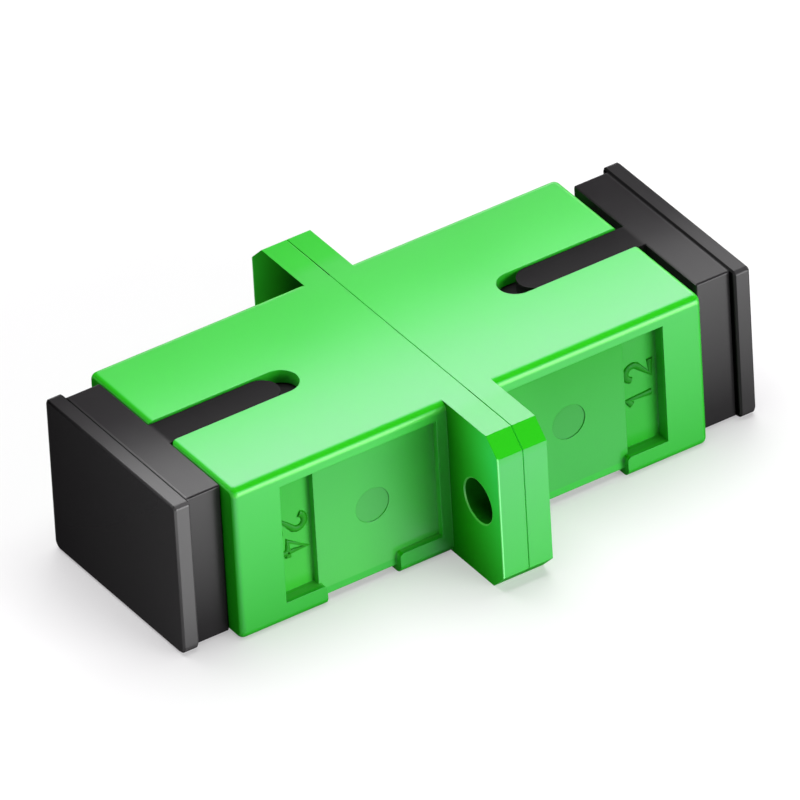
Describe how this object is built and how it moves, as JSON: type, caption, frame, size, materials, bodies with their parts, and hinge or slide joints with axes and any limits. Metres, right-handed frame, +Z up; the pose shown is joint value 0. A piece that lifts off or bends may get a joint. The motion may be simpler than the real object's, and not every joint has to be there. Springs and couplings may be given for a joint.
{
  "type": "fibre optic adapter",
  "caption": "Flanged coupling that lines up two push-pull fibre plugs end to end in a split sleeve, with a screw flange and a dust cap in each port.",
  "frame": {"origin": "centre of the alignment sleeve, on the fibre axis and in the plane where the two housing halves meet", "axes": "+X along the fibre axis towards the right-hand port, +Y across the flange away from the viewer, +Z up through the wall with the keyways"},
  "size_m": [0.034, 0.022, 0.009],
  "materials": {
    "housing": "satin moulded green ABS",
    "holder": "natural moulded engineering plastic",
    "sleeve": "polished white zirconia",
    "cap": "satin moulded black ABS"
  },
  "bodies": {
    "adapter": {"housing_left": "housing", "housing_right": "housing", "sleeve_holder_left": "holder", "sleeve_holder_right": "holder", "alignment_sleeve": "sleeve"},
    "cap_left": {"dust_cap_left": "cap"},
    "cap_right": {"dust_cap_right": "cap"}
  },
  "joints": [
    {"name": "cap_left_slide", "type": "slide", "parent": "adapter", "child": "cap_left", "axis": [-1, 0, 0], "range_m": [0, 0.02]},
    {"name": "cap_right_slide", "type": "slide", "parent": "adapter", "child": "cap_right", "axis": [1, 0, 0], "range_m": [-0.00037, 0.02]}
  ]
}
